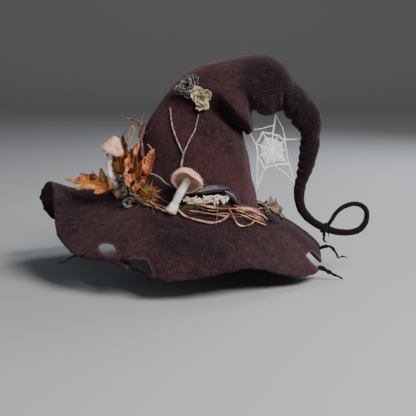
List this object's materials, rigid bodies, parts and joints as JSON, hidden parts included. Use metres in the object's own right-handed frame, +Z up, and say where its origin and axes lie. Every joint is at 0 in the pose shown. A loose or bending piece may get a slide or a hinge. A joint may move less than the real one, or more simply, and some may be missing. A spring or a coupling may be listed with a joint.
{
  "type": "witch hat",
  "caption": "Wet-felted witch hat: slumped cone crown with a wired curling tail, a torn drooping brim and a woodland trim of vine, leaves, mushrooms, lichen, feathers and a thread web.",
  "frame": {"origin": "centre of the head opening, where the crown meets the brim", "axes": "+Z up as the hat is worn; -X the wearer's front; +X the wearer's back, where the tail curls; -Y the trimmed side"},
  "size_m": [0.4702, 0.3495, 0.3039],
  "materials": {
    "dark_felt": "matt wet-felted wool",
    "band_ribbon": "grosgrain",
    "steel_wire": "drawn",
    "mushroom_cap": "needle-felted wool",
    "mushroom_stem": "needle-felted wool",
    "vine": "dried vine bark",
    "straw": "dried vine bark",
    "cotton": "mercerised crochet cotton",
    "twig": "weathered bark",
    "red_root": "dried root",
    "berry": "glossy dried berry",
    "husk": "dry husk",
    "needles": "dried needles",
    "moss": "dried moss",
    "lichen": "dried lichen",
    "rosette_green": "dried moss",
    "grey_leaf": "dried leaf",
    "ochre_leaf": "dried leaf",
    "rust_leaf": "dried leaf",
    "orange_leaf": "dried leaf",
    "pink_leaf": "dried leaf",
    "feather": "iridescent barbs"
  },
  "bodies": {
    "hat": {"berry_red": "berry", "brim": "dark_felt", "brim_strip": "dark_felt", "crown_bulge": "dark_felt", "crown_cone": "dark_felt", "crown_fold": "dark_felt", "feather_long": "feather", "feather_short": "feather", "leaf_grey": "grey_leaf", "leaf_grey_upright": "grey_leaf", "leaf_ochre": "ochre_leaf", "leaf_orange": "orange_leaf", "leaf_pink": "pink_leaf", "leaf_rust": "rust_leaf", "leaf_rust_side": "rust_leaf", "leaf_yellow": "ochre_leaf", "lichen_stem": "lichen", "lichen_white": "lichen", "moss_pad": "moss", "mushroom_big_cap": "mushroom_cap", "mushroom_big_stem": "mushroom_stem", "mushroom_slim_cap": "mushroom_cap", "mushroom_slim_stem": "mushroom_stem", "root_red": "red_root", "rosette_green": "rosette_green", "rosette_grey": "grey_leaf", "seed_husk": "husk", "spider_web": "cotton", "sprig_leaf": "grey_leaf", "sprig_needles": "needles", "stitch": "cotton", "sweatband": "band_ribbon", "tail": "dark_felt", "tail_wire": "steel_wire", "twig_cross": "twig", "twig_forked": "twig", "twig_pale": "twig", "vine_front": "vine", "vine_gold": "straw", "vine_inner": "vine", "vine_loop": "vine", "vine_outer": "vine", "vine_ring": "vine", "vine_upper": "straw"},
    "curl": {"tail_curl": "dark_felt", "tail_knot": "dark_felt", "curl_wire": "steel_wire"},
    "strand_front": {"tendril_front": "dark_felt"},
    "strand_back_upper": {"tendril_back_upper": "dark_felt"},
    "strand_back_lower": {"tendril_back_lower": "dark_felt"}
  },
  "joints": [
    {"name": "curl_bend", "type": "hinge", "parent": "hat", "child": "curl", "pos_m": [0.151, 0, 0.0085], "axis": [0, 1, 0], "range_deg": [-30, 8]},
    {"name": "strand_front_flex", "type": "hinge", "parent": "hat", "child": "strand_front", "pos_m": [-0.13313, -0.13111, -0.04803], "axis": [0, 1, 0], "range_deg": [-25, 25], "stiffness_Nm_per_rad": 0.002},
    {"name": "strand_back_upper_flex", "type": "hinge", "parent": "hat", "child": "strand_back_upper", "pos_m": [0.18239, 0.00321, -0.06585], "axis": [0, 1, 0], "range_deg": [-25, 25], "stiffness_Nm_per_rad": 0.003},
    {"name": "strand_back_lower_flex", "type": "hinge", "parent": "hat", "child": "strand_back_lower", "pos_m": [0.17526, -0.05093, -0.0809], "axis": [0, 1, 0], "range_deg": [-25, 25], "stiffness_Nm_per_rad": 0.003}
  ]
}
